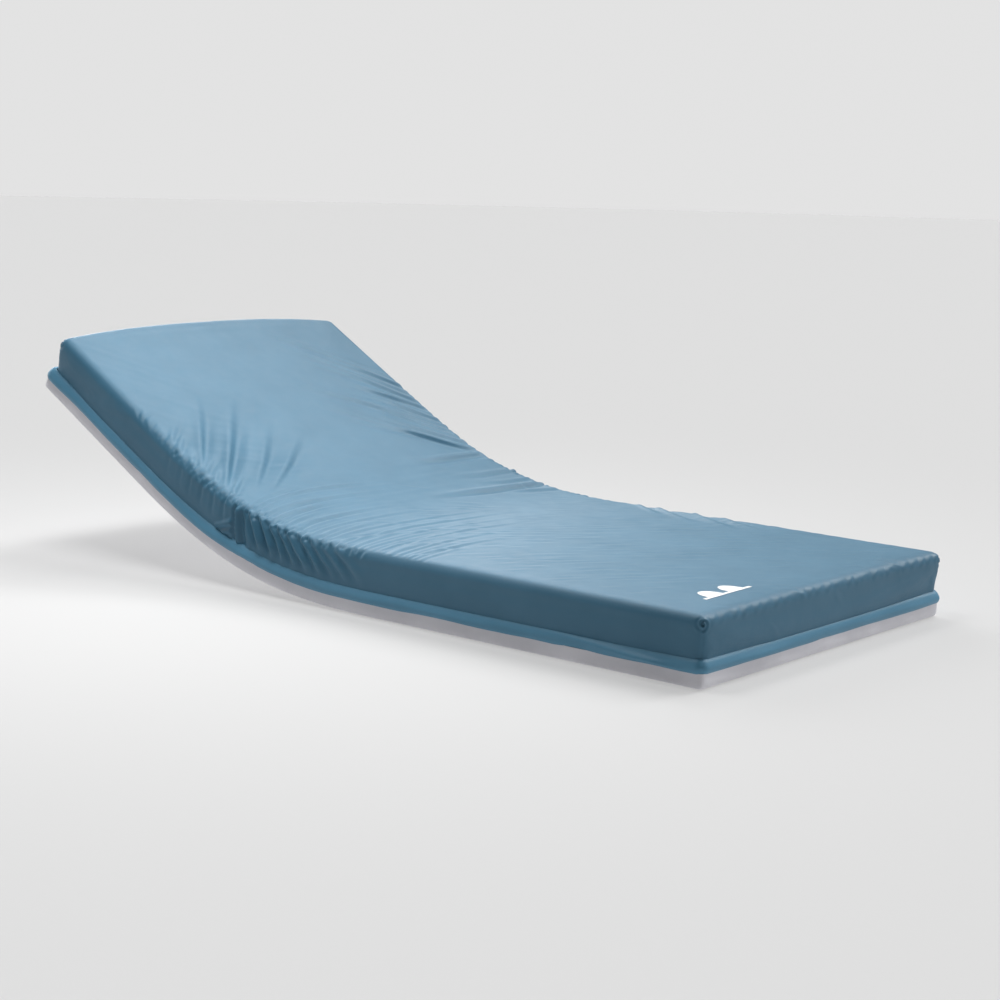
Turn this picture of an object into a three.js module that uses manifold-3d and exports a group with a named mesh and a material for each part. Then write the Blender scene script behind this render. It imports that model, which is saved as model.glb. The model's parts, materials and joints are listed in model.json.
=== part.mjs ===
// A foam pressure relief mattress for a profiling bed, lying with its head end raised by 30 degrees.
// It has a zipped two-part cover, blue above and grey below, with a flap over the zip all round.
// Inside are a firm foam core with raised side rails and a slow-recovery foam insert between them.
// It bends at five hinge lines, and every layer is cut there into six sections.
//
// A point of the mattress is given as it would be on the flat mattress: s runs from the foot end
// to the head end, y runs across, towards the lying person's left, and n is the height above the
// underside. bent() puts it in its place. Units are millimetres and degrees.

import * as THREE from "three";
import { mergeVertices } from "three/addons/utils/BufferGeometryUtils.js";
import Module from "manifold-3d";

const wasm = await Module();
wasm.setup();

// ---------------------------------------------------------------- driving dimensions

const LENGTH = 2000;
const WIDTH = 900;
const THICKNESS = 142;
const TOP_EDGE_RADIUS = 20;

// The head end rises along a curve that is straight at both ends.
const HEAD_RISE = 30;
const BEND_START = 810;
const BEND_END = 1650;
const BEND_STEP = 60;

// Cover and zip. d is the depth below the cover's outer face, and negative outside it.
const SKIN = 1.2;
const BASE_SKIN = 1.5;
const BASE_TOP = 32;
const COVER_BOTTOM = 44;
const TAPE_DEPTH = 1.5;
const TAPE_THICKNESS = 0.8;
const TAPE_REACH = 18;
const COIL_DEPTH = 4.4;
const COIL_HEIGHT = 2.8;
const COIL_GAP = 1.6;
const ZIP_HEIGHT = 38;

// The flap is sewn on along its top edge and hangs over the zip.
const FLAP_OUT = 5;
const FLAP_THICKNESS = 2.8;
const FLAP_BOTTOM = 30;
const FLAP_TOP = 56;
const FLAP_SEAM = 3;
const SEAM_GAP = 0.3;
const HEAD_FLAP_WIDTH = 800;
const CUT_GAP = 0.4;

// Foam.
const FOAM_INSET = 6.5;
const FOAM_GAP = 0.5;
const FOAM_EDGE_RADIUS = 14;
const RAIL_WIDTH = 90;
const INSERT_BOTTOM = 70;
const GROOVE_WIDTH = 4;
const GROOVE_DEPTH = 32;
const GROOVE_PITCH = 160;
const GROOVE_COLUMNS = 4;

// Where the mattress bends, from the foot end, and how far each place closes above its hinge.
const LUMBAR_HINGES = 3;
const HEAD_RISE_MOST = 70;
const KNEE = 520;
const HIP = 840;
const HIP_CLOSES = 20;
const CUT_MARGIN = 0.25;

// The zip's slider and puller, at the head end.
const SLIDER_Y = 330;
const SLIDER_LENGTH = 14;
const SLIDER_HEIGHT = 10;
const SLIDER_PLATE = 0.8;
const SLIDER_PLAY = 0.3;
const SLIDER_WEB = 1;
const PULLER_LENGTH = 24;
const PULLER_WIDTH = 7;
const PULLER_THICKNESS = 0.8;

// The printed foot mark, at the foot end on the person's right.
const MARK_AT = new THREE.Vector2(95, -262);
const MARK_WIDTH = 156;
const MARK_HEIGHT = 48;
const MARK_THICKNESS = 0.4;

// ---------------------------------------------------------------- the bend

const rad = THREE.MathUtils.degToRad;

// How far up the mattress slopes at s, in radians.
function slope(s) {
  return rad(HEAD_RISE) * THREE.MathUtils.smoothstep(s, BEND_START, BEND_END);
}

// The underside's height line at s: x runs back from the foot end, z runs up.
function underside(s) {
  const steps = 200;
  const point = new THREE.Vector2(-Math.min(s, BEND_START), 0);
  const bendLength = Math.max(0, Math.min(s, BEND_END) - BEND_START);
  for (let i = 0; i < steps; i++) {
    const phi = slope(BEND_START + ((i + 0.5) / steps) * bendLength);
    point.x -= (Math.cos(phi) * bendLength) / steps;
    point.y += (Math.sin(phi) * bendLength) / steps;
  }
  const beyond = Math.max(0, s - BEND_END);
  point.x -= beyond * Math.cos(rad(HEAD_RISE));
  point.y += beyond * Math.sin(rad(HEAD_RISE));
  return point;
}

// The place of a point of the flat mattress once the head end is raised.
function bent(s, y, n) {
  const base = underside(s);
  const phi = slope(s);
  return new THREE.Vector3(base.x + n * Math.sin(phi), y, base.y + n * Math.cos(phi));
}

// The s at which the mattress has made a given share of its bend.
function bendShare(share) {
  let low = BEND_START;
  let high = BEND_END;
  while (high - low > 0.01) {
    const middle = (low + high) / 2;
    if (THREE.MathUtils.smoothstep(middle, BEND_START, BEND_END) < share) low = middle;
    else high = middle;
  }
  return (low + high) / 2;
}

// ---------------------------------------------------------------- solids

// A closed geometry as a manifold-3d solid.
function toSolid(geometry) {
  const bare = geometry.clone();
  bare.deleteAttribute("normal");
  bare.deleteAttribute("uv");
  const merged = mergeVertices(bare, 1e-4);
  const mesh = new wasm.Mesh({
    numProp: 3,
    vertProperties: merged.attributes.position.array,
    triVerts: new Uint32Array(merged.index.array),
  });
  return new wasm.Manifold(mesh);
}

// A manifold-3d solid as a geometry.
function toGeometry(solid) {
  const mesh = solid.getMesh();
  const geometry = new THREE.BufferGeometry();
  geometry.setAttribute("position", new THREE.BufferAttribute(mesh.vertProperties, 3));
  geometry.setIndex(new THREE.BufferAttribute(mesh.triVerts, 1));
  geometry.computeVertexNormals();
  return geometry;
}

function rectangle(y0, y1, n0, n1) {
  const shape = new THREE.Shape();
  shape.moveTo(y0, n0);
  shape.lineTo(y1, n0);
  shape.lineTo(y1, n1);
  shape.lineTo(y0, n1);
  shape.closePath();
  return shape;
}

// A rectangle across the whole mattress, with its two upper corners rounded.
function arch(half, n0, n1, radius) {
  const shape = new THREE.Shape();
  shape.moveTo(-half, n0);
  shape.lineTo(half, n0);
  shape.absarc(half - radius, n1 - radius, radius, 0, Math.PI / 2);
  shape.absarc(radius - half, n1 - radius, radius, Math.PI / 2, Math.PI);
  shape.closePath();
  return shape;
}

// A section, drawn in y and n, run along the bent mattress from s1 down to s0.
// Every slab has its joints at the same stations, so that layers keep their distance.
function slab(section, s0, s1) {
  const stations = [s1];
  for (let s = BEND_END; s >= BEND_START; s -= BEND_STEP) {
    if (s > s0 && s < s1) stations.push(s);
  }
  stations.push(s0);
  const steps = stations.length - 1;
  const geometry = new THREE.ExtrudeGeometry(section, {
    depth: steps,
    steps,
    bevelEnabled: false,
    curveSegments: 5,
  });
  const position = geometry.attributes.position;
  for (let i = 0; i < position.count; i++) {
    const s = stations[Math.round(position.getZ(i))];
    const place = bent(s, position.getX(i), position.getY(i));
    position.setXYZ(i, place.x, place.y, place.z);
  }
  return toSolid(geometry);
}

function block(s0, s1, y0, y1, n0, n1) {
  return slab(rectangle(y0, y1, n0, n1), s0, s1);
}

// A block as large as the whole mattress at depth d, between two heights.
function layer(d, n0, n1) {
  const half = WIDTH / 2 - d;
  return block(d, LENGTH - d, -half, half, n0, n1);
}

// The same, with its long upper edges rounded.
function archLayer(d, n0, n1, radius) {
  return slab(arch(WIDTH / 2 - d, n0, n1, radius), d, LENGTH - d);
}

// ---------------------------------------------------------------- the six sections

function lumbarHinge(i) {
  return {
    s: bendShare((2 * i + 1) / (2 * LUMBAR_HINGES)),
    closes: (HEAD_RISE_MOST - HEAD_RISE) / LUMBAR_HINGES,
  };
}

const hinges = [
  { s: KNEE, closes: 0 },
  { s: HIP, closes: HIP_CLOSES },
  lumbarHinge(0),
  lumbarHinge(1),
  lumbarHinge(2),
];
const sectionNames = ["leg", "thigh", "seat", "lumbar_lower", "lumbar_upper", "back"];

// The line that ends a section at a hinge: its lower and its upper point. towards is 1 on the
// hinge's head side and -1 on its foot side. It leans away, so that the section clears its
// neighbour when the hinge closes.
function cutLine(hinge, towards) {
  const below = 30;
  const above = 250;
  const lean = rad(hinge.closes / 2 + CUT_MARGIN) * towards;
  const phi = slope(hinge.s) - lean;
  const start = bent(hinge.s + (towards * CUT_GAP) / 2, 0, 0);
  const along = (reach) =>
    new THREE.Vector2(start.x + reach * Math.sin(phi), start.z + reach * Math.cos(phi));
  return [along(-below), along(above)];
}

// The space that belongs to one section, as a prism across the whole mattress.
function sectionSpace(index) {
  const margin = 100;
  const ends = {
    foot: [new THREE.Vector2(margin, -margin), new THREE.Vector2(margin, 3 * margin)],
    head: [
      new THREE.Vector2(-LENGTH - margin, 0),
      new THREE.Vector2(-LENGTH, LENGTH / 2),
    ],
  };
  const footSide = index === 0 ? ends.foot : cutLine(hinges[index - 1], 1);
  const headSide = index === hinges.length ? ends.head : cutLine(hinges[index], -1);
  const outline = new THREE.Shape([footSide[0], footSide[1], headSide[1], headSide[0]]);
  const geometry = new THREE.ExtrudeGeometry(outline, { depth: WIDTH * 2, bevelEnabled: false });
  geometry.rotateX(Math.PI / 2);
  geometry.translate(0, WIDTH, 0);
  return toSolid(geometry);
}

const spaces = sectionNames.map((name, index) => sectionSpace(index));

// ---------------------------------------------------------------- layers

function makeBaseCover() {
  return layer(0, 0, BASE_TOP).subtract(layer(SKIN, BASE_SKIN, BASE_TOP + 1));
}

function makeTopCover() {
  const inside = archLayer(SKIN, COVER_BOTTOM - 1, THICKNESS - SKIN, TOP_EDGE_RADIUS - SKIN);
  return archLayer(0, COVER_BOTTOM, THICKNESS, TOP_EDGE_RADIUS).subtract(inside);
}

// The grooves that part the insert's top into blocks, which sink one by one.
function cutGrooves(insert, halfInsert) {
  let cut = insert;
  const top = THICKNESS + 10;
  const bottom = THICKNESS - GROOVE_DEPTH;
  for (let s = GROOVE_PITCH; s < LENGTH; s += GROOVE_PITCH) {
    const middle = s - GROOVE_WIDTH / 2;
    cut = cut.subtract(block(middle, middle + GROOVE_WIDTH, -halfInsert - 1, halfInsert + 1, bottom, top));
  }
  for (let column = 1; column < GROOVE_COLUMNS; column++) {
    const y = ((2 * column) / GROOVE_COLUMNS - 1) * halfInsert - GROOVE_WIDTH / 2;
    cut = cut.subtract(block(-1, LENGTH + 1, y, y + GROOVE_WIDTH, bottom, top));
  }
  return cut;
}

function makeFoam() {
  const foamTop = THICKNESS - SKIN - FOAM_GAP;
  const halfTrough = WIDTH / 2 - FOAM_INSET - RAIL_WIDTH;
  const trough = block(0, LENGTH, -halfTrough, halfTrough, INSERT_BOTTOM, THICKNESS);
  const core = archLayer(FOAM_INSET, BASE_SKIN + FOAM_GAP, foamTop, FOAM_EDGE_RADIUS);
  const halfInsert = halfTrough - FOAM_GAP;
  const insert = block(
    FOAM_INSET,
    LENGTH - FOAM_INSET,
    -halfInsert,
    halfInsert,
    INSERT_BOTTOM + FOAM_GAP,
    foamTop,
  );
  return { core: core.subtract(trough), insert: cutGrooves(insert, halfInsert) };
}

// One half of the zip: a tape with its coil along one edge. direction is 1 for the upper half.
function makeZipHalf(direction) {
  const coilEdge = ZIP_HEIGHT + (direction * COIL_GAP) / 2;
  const coilBack = coilEdge + direction * COIL_HEIGHT;
  const tapeEnd = coilEdge + direction * TAPE_REACH;
  const between = (d, a, b) => layer(d, Math.min(a, b), Math.max(a, b));
  return between(TAPE_DEPTH, coilEdge, tapeEnd)
    .subtract(between(TAPE_DEPTH + TAPE_THICKNESS, coilBack, tapeEnd + direction))
    .subtract(between(COIL_DEPTH, coilEdge - direction, coilBack + direction));
}

// The flap, with the seam allowance that holds it off the cover along its top.
function makeFlap() {
  return layer(-FLAP_OUT, FLAP_BOTTOM, FLAP_TOP)
    .subtract(layer(FLAP_THICKNESS - FLAP_OUT, FLAP_BOTTOM - 1, FLAP_TOP - FLAP_SEAM))
    .subtract(layer(-SEAM_GAP, FLAP_BOTTOM, FLAP_TOP + 1));
}

// The straight run of the flap at the head end, which lifts to reach the slider.
function headFlapSpace(extra) {
  const half = HEAD_FLAP_WIDTH / 2 + extra;
  return block(LENGTH, LENGTH + 4 * FLAP_OUT, -half, half, FLAP_BOTTOM - 5, FLAP_TOP + 5);
}

// ---------------------------------------------------------------- slider, puller and mark

// Two plates, one on each side of the coils, joined by a web between them, with an arch for the
// puller on the outer plate. o is the distance out from the cover's face.
function makeSlider() {
  const box = (y0, y1, n0, n1, o0, o1) =>
    block(LENGTH + o0, LENGTH + o1, SLIDER_Y + y0, SLIDER_Y + y1, ZIP_HEIGHT + n0, ZIP_HEIGHT + n1);
  const halfLength = SLIDER_LENGTH / 2;
  const halfHeight = SLIDER_HEIGHT / 2;
  const outer = -TAPE_DEPTH + SLIDER_PLAY;
  const inner = -COIL_DEPTH - SLIDER_PLAY;
  const face = outer + SLIDER_PLATE;
  const archTop = 1.9;
  const archBeam = 0.7;
  const archHalf = 1;
  return box(-halfLength, halfLength, -halfHeight, halfHeight, outer, face)
    .add(box(-halfLength, halfLength, -halfHeight, halfHeight, inner - SLIDER_PLATE, inner))
    .add(box(-halfLength, halfLength, -SLIDER_WEB / 2, SLIDER_WEB / 2, inner - 0.1, outer + 0.1))
    .add(box(1.4, 2.4, -archHalf, archHalf, face - 0.1, archTop))
    .add(box(-2.6, -1.6, -archHalf, archHalf, face - 0.1, archTop))
    .add(box(-2.6, 2.4, -archHalf, archHalf, archTop - archBeam, archTop));
}

// A tab with an eye, whose bar lies under the slider's arch. It lies flat along the zip.
function makePuller() {
  const eye = 5;
  const bar = 0.55;
  const halfWidth = PULLER_WIDTH / 2;
  const armInside = 1.7;
  const outMiddle = 0.35;
  const box = (y0, y1, n0, n1) =>
    block(
      LENGTH + outMiddle - PULLER_THICKNESS / 2,
      LENGTH + outMiddle + PULLER_THICKNESS / 2,
      SLIDER_Y - y1,
      SLIDER_Y - y0,
      ZIP_HEIGHT + n0,
      ZIP_HEIGHT + n1,
    );
  return box(-bar, bar, -halfWidth, halfWidth)
    .add(box(0, eye + 1, armInside, halfWidth))
    .add(box(0, eye + 1, -halfWidth, -armInside))
    .add(box(eye, PULLER_LENGTH, -halfWidth, halfWidth));
}

// Two foot soles with their heels on a bar, which show the foot end. It is drawn as someone
// standing there sees it.
function makeMark() {
  const barHeight = 8;
  const soleHeight = MARK_HEIGHT - barHeight + 2;
  const sole = (x) => {
    const shape = new THREE.Shape();
    shape.absellipse(x, (MARK_HEIGHT - soleHeight) / 2, 13, soleHeight / 2, 0, 2 * Math.PI);
    return shape;
  };
  const barTop = barHeight - MARK_HEIGHT / 2;
  const bar = rectangle(-MARK_WIDTH / 2, MARK_WIDTH / 2, -MARK_HEIGHT / 2, barTop);
  const print = [bar, sole(-24), sole(24)].map((shape) =>
    toSolid(
      new THREE.ExtrudeGeometry(shape, {
        depth: MARK_THICKNESS,
        bevelEnabled: false,
        curveSegments: 8,
      }),
    ),
  );
  return print[0].add(print[1]).add(print[2]);
}

// ---------------------------------------------------------------- assembly

const materials = {
  coverFabric: new THREE.MeshStandardMaterial({ color: 0x4f7f9c, roughness: 0.45 }),
  baseFabric: new THREE.MeshStandardMaterial({ color: 0xb4aeb2, roughness: 0.75 }),
  coreFoam: new THREE.MeshStandardMaterial({ color: 0xd9dde0, roughness: 0.95 }),
  insertFoam: new THREE.MeshStandardMaterial({ color: 0xe8d9b0, roughness: 0.95 }),
  zipTape: new THREE.MeshStandardMaterial({ color: 0x2c4a5e, roughness: 0.8 }),
  zipMetal: new THREE.MeshStandardMaterial({ color: 0x8f9498, roughness: 0.35, metalness: 1 }),
  printInk: new THREE.MeshStandardMaterial({ color: 0xf4f6f7, roughness: 0.5 }),
};

const mattress = new THREE.Group();

function addPiece(name, solid, material) {
  const mesh = new THREE.Mesh(toGeometry(solid), material);
  mesh.name = name;
  mattress.add(mesh);
  return mesh;
}

// Cuts a layer into its six sections, one mesh each. A band that runs along both sides gives a
// left and a right mesh in each section that it doesn't go round the end of.
function addSections(prefix, solid, material) {
  sectionNames.forEach((section, index) => {
    const pieces = solid.intersect(spaces[index]).decompose();
    for (const piece of pieces) {
      const bounds = piece.boundingBox();
      const side = bounds.min[1] > 0 ? "_left" : "_right";
      addPiece(`${prefix}_${section}${pieces.length > 1 ? side : ""}`, piece, material);
    }
  });
}

const foam = makeFoam();
addSections("base_cover", makeBaseCover(), materials.baseFabric);
addSections("core_foam", foam.core, materials.coreFoam);
addSections("insert_foam", foam.insert, materials.insertFoam);
addSections("top_cover", makeTopCover(), materials.coverFabric);
addSections("zip_lower", makeZipHalf(-1), materials.zipTape);
addSections("zip_upper", makeZipHalf(1), materials.zipTape);

const flap = makeFlap();
addSections("flap", flap.subtract(headFlapSpace(CUT_GAP)), materials.coverFabric);
addPiece("flap_head", flap.intersect(headFlapSpace(0)), materials.coverFabric);

addPiece("zip_slider", makeSlider(), materials.zipMetal);
addPiece("zip_puller", makePuller(), materials.zipMetal);

const mark = addPiece("foot_mark", makeMark(), materials.printInk);
mark.rotation.z = Math.PI / 2;
mark.position.set(-MARK_AT.x, MARK_AT.y, THICKNESS + SEAM_GAP);

// The origin is under the middle of the mattress's overall length.
mattress.position.x = -(underside(LENGTH).x + FLAP_OUT) / 2;

export default mattress;
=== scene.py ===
"""Pressure relief mattress with its head end raised: its looks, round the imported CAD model.

Every soft layer is made once, as it would be on the flat mattress, then bent into place, detailed,
and cut into pieces that each bend across one of the CAD model's joints.

A point of the flat mattress is (s, y, n): s runs from the foot end to the head end, y runs across,
and n is the height above the underside. Lengths are in metres.
"""

import json
import math

import bpy
import numpy as np
from mathutils import Matrix, Vector
from mathutils.bvhtree import BVHTree


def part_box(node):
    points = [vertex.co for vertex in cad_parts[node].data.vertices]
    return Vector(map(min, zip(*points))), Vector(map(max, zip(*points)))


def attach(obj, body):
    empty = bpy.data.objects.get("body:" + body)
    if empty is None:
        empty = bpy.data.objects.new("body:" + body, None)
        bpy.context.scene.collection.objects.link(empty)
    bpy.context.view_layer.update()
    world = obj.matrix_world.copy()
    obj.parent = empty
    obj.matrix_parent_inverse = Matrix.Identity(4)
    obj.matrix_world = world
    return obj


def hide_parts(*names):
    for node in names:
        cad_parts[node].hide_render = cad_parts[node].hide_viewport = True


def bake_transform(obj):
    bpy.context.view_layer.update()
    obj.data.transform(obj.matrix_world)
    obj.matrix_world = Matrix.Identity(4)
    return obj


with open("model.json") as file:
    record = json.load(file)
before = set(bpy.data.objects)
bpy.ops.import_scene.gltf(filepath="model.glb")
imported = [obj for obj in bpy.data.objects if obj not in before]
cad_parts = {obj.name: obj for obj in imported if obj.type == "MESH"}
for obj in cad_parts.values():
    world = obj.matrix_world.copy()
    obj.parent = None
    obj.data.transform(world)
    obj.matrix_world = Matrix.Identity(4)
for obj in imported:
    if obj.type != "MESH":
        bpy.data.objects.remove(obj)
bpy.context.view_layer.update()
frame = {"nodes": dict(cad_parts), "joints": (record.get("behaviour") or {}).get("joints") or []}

MM = 0.001
SEED = 7

# ------------------------------------------------------------------ sizes, from the frame

FOOT_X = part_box("base_cover_leg")[1][0]
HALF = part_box("base_cover_leg")[1][1]
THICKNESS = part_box("top_cover_leg")[1][2]
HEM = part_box("top_cover_leg")[0][2]
BASE_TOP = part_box("base_cover_leg")[1][2]
FLAP_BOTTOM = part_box("flap_leg")[0][2]
FLAP_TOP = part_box("flap_leg")[1][2]
ZIP_MIDDLE = (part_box("zip_lower_leg")[1][2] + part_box("zip_upper_leg")[0][2]) / 2
HINGES = {j["name"]: Vector(j["pos_m"]) for j in frame["joints"] if j["type"] == "hinge"}

# The head end rises along a curve that is straight at both ends, as in the CAD model.
LENGTH = 2.0
HEAD_RISE = math.radians(30)
BEND_START = 0.81
BEND_END = 1.65

# ------------------------------------------------------------------ the bend


def smoothstep(t):
    t = np.clip(t, 0, 1)
    return t * t * (3 - 2 * t)


def slope(s):
    return HEAD_RISE * smoothstep((s - BEND_START) / (BEND_END - BEND_START))


def running_sum(values, step):
    return np.concatenate([[0], np.cumsum((values[1:] + values[:-1]) / 2 * step)])


CURVE_S = np.linspace(0, LENGTH + 0.1, 4201)
CURVE_STEP = CURVE_S[1] - CURVE_S[0]
CURVE_BACK = running_sum(np.cos(slope(CURVE_S)), CURVE_STEP)
CURVE_UP = running_sum(np.sin(slope(CURVE_S)), CURVE_STEP)


def bend(flat):
    """The places, in the row frame, of points of the flat mattress."""
    s, y, n = flat[:, 0], flat[:, 1], flat[:, 2]
    phi = slope(s)
    back = np.where(s < 0, s, np.interp(s, CURVE_S, CURVE_BACK))
    up = np.interp(s, CURVE_S, CURVE_UP)
    return np.stack([FOOT_X - back + n * np.sin(phi), y, up + n * np.cos(phi)], axis=1)


# ------------------------------------------------------------------ meshes


def make_object(name, points, faces):
    mesh = bpy.data.meshes.new(name)
    mesh.from_pydata([tuple(p) for p in points], [], [tuple(f) for f in faces])
    mesh.polygons.foreach_set("use_smooth", [True] * len(mesh.polygons))
    mesh.update()
    obj = bpy.data.objects.new(name, mesh)
    bpy.context.scene.collection.objects.link(obj)
    return obj


def points_of(mesh):
    out = np.empty(len(mesh.vertices) * 3)
    mesh.vertices.foreach_get("co", out)
    return out.reshape(-1, 3)


def set_points(mesh, points):
    mesh.vertices.foreach_set("co", np.asarray(points, dtype=np.float32).ravel())
    mesh.update()


def normals_of(mesh):
    out = np.empty(len(mesh.vertices) * 3)
    mesh.vertex_normals.foreach_get("vector", out)
    return out.reshape(-1, 3)


def put_vectors(mesh, name, values):
    attribute = mesh.attributes.get(name) or mesh.attributes.new(name, "FLOAT_VECTOR", "POINT")
    attribute.data.foreach_set("vector", np.asarray(values, dtype=np.float32).ravel())


def take_vectors(mesh, name):
    out = np.empty(len(mesh.vertices) * 3)
    mesh.attributes[name].data.foreach_get("vector", out)
    return out.reshape(-1, 3)


def spaced(low, high, radius, cell, low_round=True, high_round=True):
    """Grid lines from low to high, with two steps through each rounded end."""
    inner_low = low + radius if low_round else low
    inner_high = high - radius if high_round else high
    middle = np.linspace(inner_low, inner_high, max(1, round((inner_high - inner_low) / cell)) + 1)
    parts = [middle]
    if low_round:
        parts.insert(0, np.linspace(low, inner_low, 3)[:-1])
    if high_round:
        parts.append(np.linspace(inner_high, high, 3)[1:])
    return np.concatenate(parts)


def box_cage(s_lines, y_lines, n_lines, caps):
    """The grid of quads round a box: four walls, and the caps that close its top or bottom."""
    last = (len(s_lines) - 1, len(y_lines) - 1, len(n_lines) - 1)
    numbers = {}
    points = []

    def number(i, j, k):
        if (i, j, k) not in numbers:
            numbers[i, j, k] = len(points)
            points.append((s_lines[i], y_lines[j], n_lines[k]))
        return numbers[i, j, k]

    faces = []

    def quad(*corners):
        faces.append([number(*c) for c in corners])

    for k in range(last[2]):
        for i in range(last[0]):
            quad((i, 0, k), (i, 0, k + 1), (i + 1, 0, k + 1), (i + 1, 0, k))
            j = last[1]
            quad((i, j, k), (i + 1, j, k), (i + 1, j, k + 1), (i, j, k + 1))
        for j in range(last[1]):
            quad((0, j, k), (0, j + 1, k), (0, j + 1, k + 1), (0, j, k + 1))
            i = last[0]
            quad((i, j, k), (i, j, k + 1), (i, j + 1, k + 1), (i, j + 1, k))
    for i in range(last[0]):
        for j in range(last[1]):
            corners = [(i, j), (i, j + 1), (i + 1, j + 1), (i + 1, j)]
            if "top" in caps:
                quad(*[(a, b, last[2]) for a, b in corners])
            if "bottom" in caps:
                quad(*[(a, b, 0) for a, b in reversed(corners)])
    return np.array(points), faces


def round_box(points, low, high, radius):
    """Rounds the edges of a box between two corners. An infinite corner leaves its edges sharp."""
    core = np.clip(points, np.array(low) + radius, np.array(high) - radius)
    out = points - core
    length = np.linalg.norm(out, axis=1, keepdims=True)
    return np.where(length > 1e-9, core + out / np.maximum(length, 1e-9) * radius, points)


def subdivided(obj, levels):
    """The object's mesh after a subdivision surface, which carries its vectors along."""
    modifier = obj.modifiers.new("subdivision", "SUBSURF")
    modifier.levels = levels
    modifier.render_levels = levels
    modifier.boundary_smooth = "ALL"
    mesh = bpy.data.meshes.new_from_object(obj.evaluated_get(bpy.context.evaluated_depsgraph_get()))
    obj.modifiers.remove(modifier)
    return mesh


# ------------------------------------------------------------------ cuts between the bodies

# The bodies from the foot end to the head end: the joint between two of them, and how far to each
# side of it the soft layers bend.
CHAIN = [
    ("leg", "thigh", "knee_bend", 0.12),
    ("thigh", "seat", "hip_bend", 0.085),
    ("seat", "lumbar_lower", "backrest_bend_lower", 0.085),
    ("lumbar_lower", "lumbar_upper", "backrest_bend_middle", 0.085),
    ("lumbar_upper", "back", "backrest_bend_upper", 0.085),
]


def s_of_hinge(joint):
    return float(np.interp(FOOT_X - HINGES[joint].x, CURVE_BACK, CURVE_S))


class Layer:
    """A finished mesh, its flat coordinates and its shading, from which pieces are cut."""

    def __init__(self, name, mesh, flat, material, slot, fill=None):
        self.name, self.flat, self.material, self.slot, self.fill = name, flat, material, slot, fill
        self.points = points_of(mesh)
        self.normals = normals_of(mesh)
        self.faces = [tuple(p.vertices) for p in mesh.polygons]
        self.middles = np.array([flat[list(f)].mean(axis=0) for f in self.faces])

    def cut(self, part, mask):
        """The piece made of the faces in mask, shaded as if it were still joined to the rest."""
        kept = [self.faces[i] for i in np.flatnonzero(mask)]
        used = np.unique(np.array([v for f in kept for v in f]))
        renumber = {old: new for new, old in enumerate(used)}
        faces = [[renumber[v] for v in f] for f in kept]
        piece = make_object(f"{self.name}_{part}", self.points[used], faces)
        put_vectors(piece.data, "flat", self.flat[used])
        piece.data.normals_split_custom_set_from_vertices([tuple(n) for n in self.normals[used]])
        piece.data.materials.append(self.material)
        return piece

    def cut_chain(self, replaced, mask=True):
        """Cuts the layer in the middle of each body, so that each piece bends across one joint."""
        at = [s_of_hinge(joint) for _, _, joint, _ in CHAIN]
        places = [-1.0] + [(a + b) / 2 for a, b in zip(at, at[1:])] + [LENGTH + 1.0]
        for index, (foot_body, head_body, joint, reach) in enumerate(CHAIN):
            s = self.middles[:, 0]
            between = (s >= places[index]) & (s < places[index + 1])
            piece = self.cut(f"{foot_body}_{head_body}", mask & between)
            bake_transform(piece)
            if replaced[index]:
                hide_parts(*replaced[index])


def nodes_by_piece(prefix):
    """The CAD nodes that each of the five pieces stands for: one section each, and the last two."""
    sections = ["leg", "thigh", "seat", "lumbar_lower", "lumbar_upper", "back"]
    out = {i: [] for i in range(len(CHAIN))}
    for i, section in enumerate(sections):
        wanted = {f"{prefix}_{section}{side}" for side in ("", "_left", "_right")}
        out[min(i, len(CHAIN) - 1)] += [n for n in frame["nodes"] if n in wanted]
    return out


# ------------------------------------------------------------------ folds

# A fold runs through points (u, v) of the cover laid out flat: u is s, v is y, and past an edge of
# the top both go on down the wall.


def unrolled(box_points):
    """(u, v) of points on a box's top and walls."""
    s, y, n = box_points[:, 0], box_points[:, 1], box_points[:, 2]
    down = THICKNESS - n
    u = np.where(s <= 1e-6, -down, np.where(s >= LENGTH - 1e-6, LENGTH + down, s))
    v = np.where(np.abs(y) >= HALF - 1e-6, np.sign(y) * (HALF + down), y)
    return np.stack([u, v], axis=1)


def valley(d):
    return -np.exp(-d * d) + 0.35 * np.exp(-((np.abs(d) - 1.9) / 1.1) ** 2)


def dip(d):
    return -np.exp(-d * d)


def drape(d):
    """A fold that leans: its one steep side faces to the right of the path."""
    return 1.65 * d * np.exp(-d * d / 2)


def ridge(d):
    return np.exp(-d * d) - 0.25 * np.exp(-((np.abs(d) - 1.9) / 0.9) ** 2)


def step(d):
    return np.tanh(1.6 * d) * np.exp(-np.abs(d) / 5)


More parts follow.
